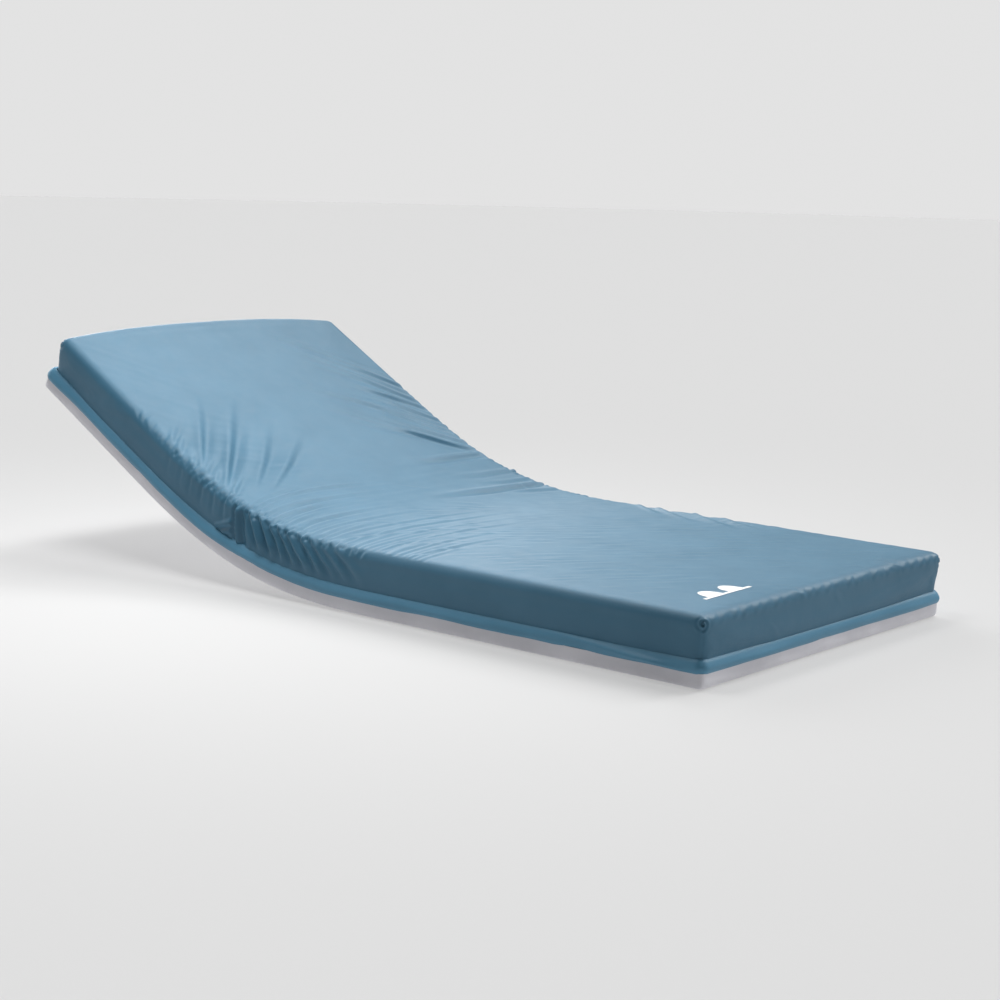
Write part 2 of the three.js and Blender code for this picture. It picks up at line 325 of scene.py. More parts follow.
def add_fold(height, uv, path, size, widths, profile=valley, ends=(0.1, 0.6)):
    """Adds one fold to height: size is its depth, widths are at its two ends, and it fades over
    the shares of its length in ends."""
    path = np.array(path, dtype=float)
    reach = 7 * max(widths) if profile is step else 3.2 * max(widths)
    low, high = path.min(axis=0) - reach, path.max(axis=0) + reach
    near = np.flatnonzero(((uv > low) & (uv < high)).all(axis=1))
    if not len(near):
        return
    q = uv[near]
    legs = np.diff(path, axis=0)
    lengths = np.linalg.norm(legs, axis=1)
    starts = np.concatenate([[0], np.cumsum(lengths)])
    best = np.full(len(q), 1e9)
    along = np.zeros(len(q))
    side = np.zeros(len(q))
    for leg, length, begin, origin in zip(legs, lengths, starts, path):
        t = np.clip(((q - origin) @ leg) / length**2, 0, 1)
        gap = q - (origin + t[:, None] * leg)
        distance = np.linalg.norm(gap, axis=1)
        closer = distance < best
        best = np.where(closer, distance, best)
        along = np.where(closer, begin + t * length, along)
        side = np.where(closer, np.sign(leg[0] * gap[:, 1] - leg[1] * gap[:, 0]), side)
    t = along / starts[-1]
    width = widths[0] + (widths[1] - widths[0]) * t
    fade = smoothstep(t / max(ends[0], 1e-6)) * smoothstep((1 - t) / max(ends[1], 1e-6))
    past_end = np.exp(-np.maximum(0, best / width - 3) ** 2)
    height[near] += size * fade * past_end * profile(side * best / width)


# ------------------------------------------------------------------ materials


def node_material(name, color, roughness):
    material = bpy.data.materials.new(name)
    material.use_nodes = True
    nodes = material.node_tree.nodes
    shader = nodes["Principled BSDF"]
    shader.inputs["Base Color"].default_value = (*color, 1)
    shader.inputs["Roughness"].default_value = roughness
    return material, nodes, material.node_tree.links, shader


def noise_node(nodes, links, coordinates, scale, detail):
    node = nodes.new("ShaderNodeTexNoise")
    node.inputs["Scale"].default_value = scale
    node.inputs["Detail"].default_value = detail
    node.inputs["Roughness"].default_value = 0.5
    links.new(coordinates, node.inputs["Vector"])
    return node


def ramp_node(nodes, links, factor, stops):
    node = nodes.new("ShaderNodeValToRGB")
    elements = node.color_ramp.elements
    while len(elements) < len(stops):
        elements.new(0.5)
    for element, (position, color) in zip(elements, stops):
        element.position = position
        element.color = (*color, 1)
    links.new(factor, node.inputs["Fac"])
    return node


def bump_node(nodes, links, height, distance, strength, under=None):
    node = nodes.new("ShaderNodeBump")
    node.inputs["Distance"].default_value = distance
    node.inputs["Strength"].default_value = strength
    links.new(height, node.inputs["Height"])
    if under is not None:
        links.new(under.outputs["Normal"], node.inputs["Normal"])
    return node


def math_node(nodes, links, operation, a, b):
    node = nodes.new("ShaderNodeMath")
    node.operation = operation
    for socket, value in zip(node.inputs, (a, b)):
        if isinstance(value, (int, float)):
            socket.default_value = value
        else:
            links.new(value, socket)
    return node


# A wave texture turns through this many radians for each unit of its scale and its coordinate.
WAVE_RADIANS = 20


def woven(nodes, links, pitch, direction):
    """Ribs of a knit or weave, across one axis of the object."""
    coordinates = nodes.new("ShaderNodeTexCoord")
    wave = nodes.new("ShaderNodeTexWave")
    wave.bands_direction = direction
    wave.inputs["Scale"].default_value = 2 * math.pi / (WAVE_RADIANS * pitch)
    wave.inputs["Distortion"].default_value = 0.6
    wave.inputs["Detail"].default_value = 1.0
    links.new(coordinates.outputs["Object"], wave.inputs["Vector"])
    return wave


MOTTLE_SCALE = 9.0
RUB_SCALE = 30.0
SLACK_SCALE = 55.0
SLACK_HEIGHT = 0.6 * MM
THREAD_HEIGHT = 0.2 * MM


def fabric_material(name, dark, light, roughness, sheen, pitch, weave_strength):
    """Cloth or foam: mottled colour, rubbed patches, slack unevenness and threads at a pitch."""
    material, nodes, links, shader = node_material(name, light, roughness)
    coordinates = nodes.new("ShaderNodeTexCoord").outputs["Object"]
    mottle = noise_node(nodes, links, coordinates, MOTTLE_SCALE, detail=4.0)
    color = ramp_node(nodes, links, mottle.outputs["Fac"], [(0.3, dark), (0.7, light)])
    links.new(color.outputs["Color"], shader.inputs["Base Color"])
    rough = nodes.new("ShaderNodeMapRange")
    rough.inputs["To Min"].default_value = roughness - 0.06
    rough.inputs["To Max"].default_value = roughness + 0.08
    wear = noise_node(nodes, links, coordinates, RUB_SCALE, detail=5.0)
    links.new(wear.outputs["Fac"], rough.inputs["Value"])
    links.new(rough.outputs["Result"], shader.inputs["Roughness"])
    across = woven(nodes, links, pitch, "X")
    along = woven(nodes, links, pitch, "Y")
    weave = math_node(nodes, links, "MULTIPLY", across.outputs["Fac"], along.outputs["Fac"])
    soft = noise_node(nodes, links, coordinates, SLACK_SCALE, detail=2.0)
    slack = bump_node(nodes, links, soft.outputs["Fac"], SLACK_HEIGHT, 0.35)
    threads = bump_node(nodes, links, weave.outputs[0], THREAD_HEIGHT, weave_strength, under=slack)
    links.new(threads.outputs["Normal"], shader.inputs["Normal"])
    shader.inputs["Sheen Weight"].default_value = sheen
    shader.inputs["Sheen Roughness"].default_value = 0.4
    shader.inputs["Specular IOR Level"].default_value = 0.28
    return material


# Each one's darkest and lightest colour, roughness, sheen, thread pitch and thread relief.
COVER = fabric_material(
    "cover_fabric", (0.048, 0.147, 0.23), (0.058, 0.166, 0.256), 0.46, 0.03, 0.0016, 0.5)
# The flap is the cover's fabric painted lighter: a painted highlight for the light from above that
# falls on the flap.
FLAP_PAINTED_LIGHTER = fabric_material(
    "flap_fabric_painted_lighter", (0.082, 0.238, 0.362), (0.096, 0.264, 0.398), 0.46, 0.03, 0.0016, 0.5)
BASE = fabric_material(
    "base_fabric", (0.7, 0.695, 0.745), (0.78, 0.775, 0.825), 0.75, 0.05, 0.0015, 0.8)
FOAM = fabric_material(
    "core_foam", (0.6, 0.63, 0.66), (0.68, 0.71, 0.74), 0.9, 0.0, 0.003, 0.6)
INSERT = fabric_material(
    "insert_foam", (0.72, 0.6, 0.38), (0.8, 0.69, 0.47), 0.9, 0.0, 0.003, 0.6)
TAPE = fabric_material(
    "zip_tape", (0.02, 0.055, 0.09), (0.03, 0.075, 0.115), 0.7, 0.1, 0.001, 1.0)
THREAD = fabric_material(
    "sewing_thread", (0.07, 0.18, 0.28), (0.09, 0.21, 0.32), 0.6, 0.1, 0.0008, 1.0)
INK = fabric_material(
    "print_ink", (0.8, 0.81, 0.82), (0.86, 0.87, 0.87), 0.45, 0.0, 0.0012, 0.3)


WORN_SCALE = 500.0
SCRATCH_SCALE = 2500.0
SCRATCH_HEIGHT = 0.05 * MM


def metal_material():
    """Die-cast zip metal: fine scratches and duller, rubbed patches."""
    material, nodes, links, shader = node_material("zip_metal_cast", (0.42, 0.43, 0.45), 0.35)
    shader.inputs["Metallic"].default_value = 1
    coordinates = nodes.new("ShaderNodeTexCoord").outputs["Object"]
    wear = noise_node(nodes, links, coordinates, WORN_SCALE, detail=4.0)
    color = ramp_node(nodes, links, wear.outputs["Fac"],
                      [(0.35, (0.33, 0.34, 0.36)), (0.65, (0.5, 0.51, 0.53))])
    links.new(color.outputs["Color"], shader.inputs["Base Color"])
    rough = nodes.new("ShaderNodeMapRange")
    rough.inputs["To Min"].default_value = 0.28
    rough.inputs["To Max"].default_value = 0.5
    links.new(wear.outputs["Fac"], rough.inputs["Value"])
    links.new(rough.outputs["Result"], shader.inputs["Roughness"])
    scratches = noise_node(nodes, links, coordinates, SCRATCH_SCALE, detail=2.0)
    bump = bump_node(nodes, links, scratches.outputs["Fac"], SCRATCH_HEIGHT, 0.5)
    links.new(bump.outputs["Normal"], shader.inputs["Normal"])
    return material


METAL = metal_material()

# ------------------------------------------------------------------ top cover

COVER_CELL = 0.013
EDGE_RADIUS = 0.018
SKIRT_BOTTOM = HEM + 0.004
FOOT_CROWN = 0.004
MORE_CROWN = 0.008
HEAD_BULGE = 0.018
DRAWN_IN = 0.0055
MORE_DRAWN_IN = 0.003


def swell(flat, box_points):
    """The foam's crown under the top, the bulge of the head end, and the walls drawn in below."""
    across = 1 - np.abs(box_points[:, 1] / HALF) ** 2.5
    to_head = box_points[:, 0] / LENGTH
    crown = (FOOT_CROWN + MORE_CROWN * smoothstep((to_head - 0.02) / 0.3)) * across
    crown = crown * smoothstep(box_points[:, 0] / 0.06) + 0.0015 * across
    top = smoothstep((box_points[:, 2] - HEM) / (THICKNESS - HEM))
    bulge = HEAD_BULGE * across * top * smoothstep((box_points[:, 0] - 1.75) / 0.25)
    out = flat.copy()
    out[:, 2] += crown * top
    out[:, 0] += bulge
    drawn_in = DRAWN_IN + MORE_DRAWN_IN * smoothstep((box_points[:, 0] - 1.8) / 0.18)
    drawn_in = drawn_in * smoothstep((0.118 - box_points[:, 2]) / 0.062)
    middle = np.array([LENGTH / 2, 0])
    reach = np.array([LENGTH / 2, HALF])
    out[:, :2] = middle + (out[:, :2] - middle) * (1 - drawn_in[:, None] / reach)
    return out


def top_cover_cage():
    s_lines = spaced(0, LENGTH, EDGE_RADIUS, COVER_CELL)
    y_lines = spaced(-HALF, HALF, EDGE_RADIUS, COVER_CELL)
    n_lines = spaced(SKIRT_BOTTOM, THICKNESS, EDGE_RADIUS, COVER_CELL, low_round=False)
    box_points, faces = box_cage(s_lines, y_lines, n_lines, ["top"])
    low = (0, -HALF, -np.inf)
    high = (LENGTH, HALF, THICKNESS)
    return box_points, swell(round_box(box_points, low, high, EDGE_RADIUS), box_points), faces


def crease_cover(box_points):
    """The height of every fold above the top cover's smooth shape; folds are in millimetres."""
    uv = unrolled(box_points)
    height = np.zeros(len(uv))
    rng = np.random.default_rng(SEED)

    def fold(path, size, widths, **more):
        add_fold(height, uv, np.array(path) * MM, size * MM, [w * MM for w in widths], **more)

    # The fan of long folds on the head end, from the -Y edge.
    for path, size, widths, ends in [
        ([(1432, -440), (1580, -330), (1750, -205)], 4.2, (7, 18), (0.35, 0.6)),
        ([(1330, -446), (1500, -300), (1735, -105)], 6.0, (7, 21), (0.3, 0.6)),
        ([(1300, -384), (1448, -234), (1604, -92)], 4.6, (7, 18), (0.5, 0.6)),
        ([(1286, -350), (1412, -186), (1550, -24)], 4.4, (7, 16), (0.5, 0.6)),
    ]:
        fold(path, -0.9 * size, widths, ends=ends, profile=drape)
        fold(path, 0.8 * size, [0.9 * w for w in widths], ends=ends, profile=dip)
    for start, end, size in [
        ((1556, -446), (1650, -352), 2.2),
        ((1420, -444), (1506, -346), 2.4),
        ((1520, -446), (1600, -372), 2.0),
        ((1310, -446), (1430, -312), 2.6),
        ((1470, -446), (1536, -386), 2.0),
        ((1380, -446), (1470, -350), 1.6),
    ]:
        fold([start, end], -1.1 * size, (5, 10), ends=(0.3, 0.7), profile=drape)

    # Fine ripples that sweep in from the -Y edge round the tuck, side by side.
    for k, u0 in enumerate(np.arange(1246, 700, -17.0)):
        u0 += rng.uniform(-5, 5)
        reach = rng.uniform(150, 330) * (1.9 if k % 3 == 1 else 1)
        turn = 96 - 2.2 * k + rng.uniform(-9, 9)
        v = np.linspace(0, reach, 9)
        path = np.stack([u0 + turn * (1 - np.exp(-v / 120)) - 0.16 * v, -446 + v], axis=1)
        path[:, 0] += rng.uniform(0.5, 2.5) * np.sin(v / rng.uniform(30, 60) + rng.uniform(0, 6))
        size = rng.uniform(1.0, 2.4) * (1 - 0.014 * k)
        fold(path, -size, (4.2, 8.5), ends=(0.06, 0.7), profile=drape)

    # Parallel folds that run in from the +Y edge, and longer single ones below them.
    for k in range(13):
        u0 = 1330 + 31 * k + rng.uniform(-9, 9)
        reach = rng.uniform(170, 420)
        rise = rng.uniform(0.7, 0.95)
        path = [(u0, 446), (u0 + 0.5 * rise * reach, 446 - 0.5 * reach),
                (u0 + rise * reach, 446 - 1.1 * reach)]
        fold(path, rng.uniform(1.6, 3.6), (6, 12), ends=(0.1, 0.6), profile=drape)
    for path, size in [
        ([(1344, 446), (1332, 268), (1330, 100)], 3.8),
        ([(1112, 446), (1100, 236), (1112, -10)], 4.8),
        ([(742, 446), (640, 372), (520, 300)], 3.4),
        ([(640, 446), (540, 376), (420, 308)], 2.8),
    ]:
        fold(path, size, (9, 16), ends=(0.1, 0.5), profile=drape)
        fold(path, 0.45 * size, (7, 13), ends=(0.1, 0.7), profile=dip)

    # Softer single folds from both edges.
    for path, size, widths, fade_in in [
        ([(1230, 446), (1215, 300), (1228, 160)], 2.4, (9, 14), 0.1),
        ([(1160, 446), (1150, 320), (1165, 210)], 1.8, (8, 12), 0.1),
        ([(1052, 446), (1060, 330), (1080, 230)], 2.0, (8, 12), 0.1),
        ([(976, -440), (892, -238), (840, -70)], 1.8, (7, 11), 0.2),
        ([(804, -440), (832, -270), (816, -154)], 1.5, (7, 11), 0.2),
        ([(800, 446), (730, 390), (640, 330)], 2.4, (7, 12), 0.1),
        ([(560, 446), (480, 392), (380, 350)], 2.0, (7, 12), 0.1),
    ]:
        fold(path, size, widths, ends=(fade_in, 0.6), profile=drape)

    for side in (-1, 1):
        # Slanting pleats down the walls beside the bend, which start from a tuck.
        for k in range(9):
            u_top = 1246 - 34 * k + rng.uniform(-5, 5)
            slant = 60 + 7 * k
            bow = rng.uniform(-7, 7)
            path = [(u_top + 8, side * 444), (u_top - slant * 0.5 + bow, side * 490),
                    (u_top - slant, side * 532)]
            size = (1 - 0.085 * k) * rng.uniform(0.8, 1.1)
            fold(path, side * 5.2 * size, (8.0, 12.0), ends=(0.1, 0.25), profile=drape)
            fold(path, 8.4 * size, (6.5, 9.5), ends=(0.4, 0.35))
        for k in range(6):
            u_top = 1335 + 42 * k + rng.uniform(-8, 8)
            path = [(u_top, side * 452), (u_top - 14, side * 520)]
            fold(path, 1.6 - 0.2 * k, (4.5, 8), ends=(0.2, 0.4))
        fold([(1292, side * 448), (1278, side * 490), (1264, side * 542)], side * 7.5, (3, 4),
             profile=step, ends=(0.2, 0.08))
        fold([(1272, side * 452), (1258, side * 490), (1244, side * 540)], 8.5, (9, 13),
             profile=dip, ends=(0.3, 0.1))
        fold([(1350, side * 532), (1316, side * 512), (1290, side * 496)], 3.6, (4, 6),
             profile=ridge, ends=(0.2, 0.1))
        fold([(1322, side * 538), (1302, side * 524), (1286, side * 516)], 3.0, (3.5, 5),
             profile=ridge, ends=(0.2, 0.1))

        # Gathers over the long top edge, closest at the tuck.
        for u0 in np.arange(860, 1700, 14.0):
            u0 += rng.uniform(-5, 5)
            strength = 0.3 + math.exp(-((u0 - 1190) / 260) ** 2)
            slant = 0.022 * (u0 - 1250) + rng.uniform(-4, 10)
            inward = rng.uniform(12, 42)
            outward = rng.uniform(10, 26)
            path = [(u0 - slant * 0.6, side * (450 + outward)), (u0, side * 446),
                    (u0 + slant, side * (450 - inward))]
            fold(path, rng.uniform(2.0, 4.8) * strength, (4.5, 7.0), ends=(0.35, 0.5))

    # Shallow ripples on the seat and leg, all slanting the same way.
    for _ in range(320):
        u0 = rng.normal(560, 230)
        v0 = rng.uniform(-430, 430)
        reach = rng.uniform(50, 160)
        path = [(u0, v0), (u0 - reach * 0.62, v0 + reach * 0.72)]
        fold(path, rng.uniform(0.3, 0.85), (5, 8), ends=(0.5, 0.5), profile=drape)

    # Small slanting puckers along the foot end's top edge.
    for v0 in np.arange(-425, 440, 34.0):
        v0 += rng.uniform(-11, 11)
        fold([(-24, v0 - 6), (18, v0 + 22)], rng.uniform(0.3, 1.3), (6, 10),
             ends=(0.4, 0.5), profile=drape)
    return height


SEAM_DEPTH = 0.7 * MM
SEAM_WIDTH = 0.004
KNOT_DOWN = 0.015
KNOT_RADIUS = 0.015
KNOT_HEIGHT = 2.4 * MM
CURL_PITCH = 0.0019


def corner_seams(box_points):
    """Puckers at the four upright corner seams, with a knot at the top of each."""
    height = np.zeros(len(box_points))
    for corner_s in (0, LENGTH):
        for corner_y in (-HALF, HALF):
            ds = np.abs(box_points[:, 0] - corner_s)
            dy = np.abs(box_points[:, 1] - corner_y)
            down = THICKNESS - box_points[:, 2]
            wall = down > 0.004
            sideways = ds + dy
            seam = -SEAM_DEPTH * np.exp(-((sideways / SEAM_WIDTH) ** 2))
            height += np.where(wall, seam, 0)
            across = np.where(dy > ds, -dy, ds)
            from_knot = np.hypot(across, down - KNOT_DOWN)
            turn = np.arctan2(down - KNOT_DOWN, across)
            curl = np.cos(from_knot / CURL_PITCH + turn + 0.6)
            fade = np.exp(-((from_knot / KNOT_RADIUS) ** 2))
            height += KNOT_HEIGHT * curl * fade * smoothstep(from_knot / 0.003)
            pleat = np.cos(down / 0.0018 + sideways / 0.004) * np.exp(-sideways / 0.014)
            low_end = smoothstep((0.05 - down) / 0.03)
            height += 0.8 * MM * pleat * smoothstep((down - 0.01) / 0.01) * low_end
    return height


CUT_LONGER = 1.012
CLOTH_FRAMES = 18
CLOTH_REACH = 0.012


def settle_cover(cover, box_points, foam):
    """Lets the cover, cut for the flat mattress, settle as cloth on the bent foam."""
    mesh = cover.data
    start = points_of(mesh)
    flat = take_vectors(mesh, "flat")
    flat[:, 0] = FOOT_X - flat[:, 0] * CUT_LONGER
    cover.shape_key_add(name="bent")
    cut = cover.shape_key_add(name="cut")
    cut.data.foreach_set("co", flat.astype(np.float32).ravel())
    cut.value = 0
    hem = cover.vertex_groups.new(name="hem")
    at_hem = np.flatnonzero(box_points[:, 2] < SKIRT_BOTTOM + 1e-6)
    hem.add([int(i) for i in at_hem], 1.0, "REPLACE")
    foam.modifiers.new("collision", "COLLISION")
    foam.collision.thickness_outer = 0.002
    foam.collision.cloth_friction = 8
    cloth = cover.modifiers.new("cloth", "CLOTH")
    cloth.settings.quality = 5
    cloth.settings.mass = 0.2
    cloth.settings.tension_stiffness = 20
    cloth.settings.compression_stiffness = 20
    cloth.settings.shear_stiffness = 8
    cloth.settings.bending_stiffness = 0.05
    cloth.settings.air_damping = 2
    cloth.settings.vertex_group_mass = "hem"
    cloth.settings.rest_shape_key = cut
    cloth.settings.effector_weights.gravity = 0.3
    cloth.collision_settings.distance_min = 0.001
    cloth.point_cache.frame_start = 1
    cloth.point_cache.frame_end = CLOTH_FRAMES
    for number in range(1, CLOTH_FRAMES + 1):
        bpy.context.scene.frame_set(number)
    settled = cover.evaluated_get(bpy.context.evaluated_depsgraph_get()).to_mesh()
    moved = points_of(settled) - start
    length = np.linalg.norm(moved, axis=1, keepdims=True)
    moved = moved * np.minimum(1, CLOTH_REACH / np.maximum(length, 1e-9))
    cover.modifiers.remove(cloth)
    cover.shape_key_clear()
    set_points(mesh, start + moved)
    bpy.context.scene.frame_set(1)
    foam.modifiers.clear()


def build_top_cover():
    box_points, flat, faces = top_cover_cage()
    cover = make_object("top_cover_cage", bend(flat), faces)
    put_vectors(cover.data, "flat", flat)
    put_vectors(cover.data, "box", box_points)
    middle = np.array([LENGTH / 2, 0, THICKNESS / 2])
    gap = 0.0025
    shrink = 1 - gap / np.array([LENGTH / 2, HALF, THICKNESS / 2])
    foam = make_object("settling_form", bend((flat - middle) * shrink + middle), faces)
    settle_cover(cover, box_points, foam)
    bpy.data.objects.remove(foam)
    mesh = subdivided(cover, 2)
    bpy.data.objects.remove(cover)
    box = take_vectors(mesh, "box")
    flat = take_vectors(mesh, "flat")
    height = crease_cover(box) + corner_seams(box)
    set_points(mesh, points_of(mesh) + normals_of(mesh) * height[:, None])
    layer = Layer("cover", mesh, flat, COVER, "cover_fabric", fill=0.9)
    layer.cut_chain(nodes_by_piece("top_cover"))
    return mesh


# ------------------------------------------------------------------ base cover

BASE_CELL = 0.016
BASE_RADIUS = 0.012
BASE_WALL_CELL = 0.005


def build_base_cover():
    s_lines = spaced(0, LENGTH, BASE_RADIUS, BASE_CELL)
    y_lines = spaced(-HALF, HALF, BASE_RADIUS, BASE_CELL)
    n_lines = spaced(0, BASE_TOP, BASE_RADIUS, BASE_WALL_CELL, high_round=False)
    box_points, faces = box_cage(s_lines, y_lines, n_lines, ["bottom"])
    flat = round_box(box_points, (0, -HALF, 0), (LENGTH, HALF, np.inf), BASE_RADIUS)
    cage = make_object("base_cage", bend(flat), faces)
    put_vectors(cage.data, "flat", flat)
    put_vectors(cage.data, "box", box_points)
    mesh = subdivided(cage, 1)
    bpy.data.objects.remove(cage)
    box = take_vectors(mesh, "box")
    rng = np.random.default_rng(SEED + 1)
    along = np.where(np.abs(box[:, 1]) >= HALF - 1e-4, box[:, 0], box[:, 1])
    wave = np.zeros(len(box))
    for _ in range(14):
        pitch = rng.uniform(0.05, 0.4)
        size = rng.uniform(0.1, 0.35) * MM
        wave += size * np.sin(2 * math.pi * (along / pitch + rng.uniform()) + box[:, 2] * 20)
    on_wall = smoothstep(box[:, 2] / 0.012)
    height = (wave - 0.0008) * on_wall
    set_points(mesh, points_of(mesh) + normals_of(mesh) * height[:, None])
    flat = take_vectors(mesh, "flat")
    Layer("base", mesh, flat, BASE, "base_fabric").cut_chain(nodes_by_piece("base_cover"))


# ------------------------------------------------------------------ strips round the sides


def perimeter(radius, step_length):
    """Points (s, y) and outward directions round the mattress's outline, corners rounded."""
    corners = [
        (radius, -HALF + radius, -math.pi),
        (LENGTH - radius, -HALF + radius, -math.pi / 2),
        (LENGTH - radius, HALF - radius, 0.0),
        (radius, HALF - radius, math.pi / 2),
    ]
    places, outs = [], []
    for index, (cs, cy, begin) in enumerate(corners):
        for t in np.linspace(0, 1, 9):
            angle = begin + t * math.pi / 2
            out = np.array([math.cos(angle), math.sin(angle)])
            places.append(np.array([cs, cy]) + out * radius)
            outs.append(out)
        after = corners[(index + 1) % 4]
        angle = begin + math.pi / 2
        out = np.array([math.cos(angle), math.sin(angle)])
        goal = np.array(after[:2]) + out * radius
        here = places[-1]
        steps = round(np.linalg.norm(goal - here) / step_length)
        for t in np.linspace(0, 1, steps + 1)[1:-1]:
            places.append(here + (goal - here) * t)
            outs.append(out)
    return np.array(places), np.array(outs)


def sweep(places, outs, profile):
    """A closed tube of quads: profile gives (out, n) rows for every place, as an array."""
    count, rows = profile.shape[:2]
    s = places[:, None, 0] + outs[:, None, 0] * profile[:, :, 0]
    y = places[:, None, 1] + outs[:, None, 1] * profile[:, :, 0]
    flat = np.stack([s, y, profile[:, :, 1]], axis=2).reshape(-1, 3)
    faces = []
    for i in range(count):
        j = (i + 1) % count
        for a in range(rows):
            b = (a + 1) % rows
            faces.append((i * rows + a, j * rows + a, j * rows + b, i * rows + b))
    return flat, faces


def swept_mesh(name, places, outs, profile, levels):
    flat, faces = sweep(places, outs, profile)
    cage = make_object(name + "_cage", bend(flat), faces)
    put_vectors(cage.data, "flat", flat)
    mesh = subdivided(cage, levels)
    bpy.data.objects.remove(cage)
    return mesh


# The flap's run across the head end lifts by itself, and twists into the rest near the corners.
FLAP_CORNER = 0.018
FLAP_CELL = 0.012
FLAP_FREE = 0.35
FLAP_FIXED = 0.425


def cut_flap(layer, replaced, head_nodes):
    """Cuts the layer along the chain, but for its lifting run and the two twisting ends of that."""
    middles = layer.middles
    on_head = (middles[:, 0] > LENGTH - 0.02) & (np.abs(middles[:, 1]) < FLAP_FIXED)
    layer.cut_chain(replaced, mask=~on_head)
    free = layer.cut("head_run", on_head & (np.abs(middles[:, 1]) < FLAP_FREE))
    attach(free, "flap_head")
    if head_nodes:
        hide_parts(*head_nodes)
    for side, sign in (("left", 1), ("right", -1)):
        y = middles[:, 1] * sign
        end = layer.cut("head_" + side, on_head & (y >= FLAP_FREE))
        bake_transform(end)


def build_flap():
    places, outs = perimeter(FLAP_CORNER, FLAP_CELL)
    mesh = swept_mesh("flap", places, outs, flap_profile(places), 1)
    # The flap takes the cover's fabric painted lighter, a painted highlight.
    layer = Layer("flap", mesh, take_vectors(mesh, "flat"), FLAP_PAINTED_LIGHTER, "cover_fabric")
    cut_flap(layer, nodes_by_piece("flap"), ["flap_head"])


THREAD_RADIUS = 0.3 * MM
STITCH_LENGTH = 0.0042
STITCH_OUT = -0.0044
STITCH_UP = 0.0010


def build_flap_stitches():
    """The row of thread that sews the flap on, just under its top edge."""
    places, outs = perimeter(FLAP_CORNER, STITCH_LENGTH)
    ring = [(math.cos(a), math.sin(a)) for a in np.linspace(0, 2 * math.pi, 7)[:-1]]
    stations = [(0.1, 0.3), (0.22, 1.0), (0.66, 1.0), (0.78, 0.3)]
    flat, faces = [], []
    for i in range(len(places)):
        here, there, out = places[i], places[(i + 1) % len(places)], outs[i]
        first = len(flat)
        for t, wide in stations:
            middle = here + (there - here) * t
            for a, b in ring:
                push = STITCH_OUT + THREAD_RADIUS * (0.9 * wide * a + 0.5 * wide)
                flat.append((middle[0] + out[0] * push, middle[1] + out[1] * push,
                             FLAP_TOP + STITCH_UP + THREAD_RADIUS * wide * b))
        for k in range(len(stations) - 1):
            for j in range(6):
                a = first + k * 6
                faces.append((a + j, a + (j + 1) % 6, a + 6 + (j + 1) % 6, a + 6 + j))
        faces.append([first + j for j in reversed(range(6))])
        faces.append([first + 6 * (len(stations) - 1) + j for j in range(6)])
    flat = np.array(flat)
    row = make_object("stitches_cage", bend(flat), faces)
    layer = Layer("flap_stitches", row.data, flat, THREAD, "cover_fabric")
    bpy.data.objects.remove(row)
    cut_flap(layer, {i: [] for i in range(len(CHAIN))}, [])


ZIP_CORNER = 0.012
ZIP_CELL = 0.02


def build_zip():
    places, outs = perimeter(ZIP_CORNER, ZIP_CELL)
    mesh = swept_mesh("zip", places, outs, zip_profile(places), 0)
    nodes = nodes_by_piece("zip_lower")
    for index, names in nodes_by_piece("zip_upper").items():
        nodes[index] += names
    Layer("zip", mesh, take_vectors(mesh, "flat"), TAPE, "zip_tape").cut_chain(nodes)


MOST_INWARD = -0.0018
SLIDER_ROOM = 0.0008
SLACK_FOLD = 0.005
TUCK_S = 1.225


def flap_profile(places):
    """The flap hangs from a stitched seam, with a rolled hem, and stands off unevenly."""
    rng = np.random.default_rng(SEED + 2)
    along = places[:, 0] + 0.7 * places[:, 1]
    loose = np.zeros(len(places))
    drop = np.zeros(len(places))
    for _ in range(18):
        pitch = rng.uniform(0.06, 0.7)
        loose += rng.uniform(0.2, 1.0) * np.sin(2 * math.pi * (along / pitch + rng.uniform()))
        drop += rng.uniform(0.2, 1.0) * np.sin(2 * math.pi * (along / pitch + rng.uniform()))
    loose = 0.55 * MM * loose
    drop = 0.35 * MM * drop
    on_side = np.abs(places[:, 1]) > HALF - 0.01
    # Across the head end it stays clear of the slider's run.
    least = np.where(places[:, 0] > LENGTH - 0.01, SLIDER_ROOM, MOST_INWARD)
    at_tuck = np.exp(-(((places[:, 0] - TUCK_S) / 0.05) ** 2)) * on_side
    lift = 0.0035 * at_tuck * (1 + 0.6 * np.sin(places[:, 0] * 190))
    top = FLAP_TOP
    bottom = FLAP_BOTTOM
    height = top - bottom
    rows = [
        (-0.0120, top + 0.0000),
        (-0.0096, top + 0.0026),
        (-0.0062, top + 0.0024),
        (-0.0026, top - 0.0002),
        (0.0004, top - 0.0030),
        (0.0028, top - 0.0072),
        (0.0046, top - 0.0118),
        (0.0050, top - 0.0164),
        (0.0034, bottom + 0.0046),
        (0.0008, bottom + 0.0008),
        (-0.0006, bottom - 0.0002),
        (0.0002, bottom + 0.0014),
        (0.0018, bottom + 0.0080),
        (0.0020, top - 0.0120),
        (-0.0014, top - 0.0066),
        (-0.0076, top - 0.0036),
    ]
    # On the -Y side it hangs slack near the foot end, in one long fold down to the corner.
    slack = smoothstep((places[:, 0] - 0.03) / 0.05) * smoothstep((0.42 - places[:, 0]) / 0.2)
    slack = slack * on_side * (places[:, 1] < 0)
    fold_n = bottom + 0.004 + (height - 0.006) * np.clip((places[:, 0] - 0.04) / 0.3, 0, 1)
    profile = np.zeros((len(places), len(rows), 2))
    for r, (out, n) in enumerate(rows):
        hang = smoothstep((top - 0.006 - n) / (height * 0.6))
        profile[:, r, 0] = out + np.maximum(loose + 0.0004, least) * hang + lift * hang * 0.7
        profile[:, r, 1] = n + drop * hang + lift * hang
        if r in range(3, 11):
            bump = np.exp(-(((n - fold_n) / 0.0045) ** 2)) - 0.3
            profile[:, r, 0] += SLACK_FOLD * slack * bump
    return profile


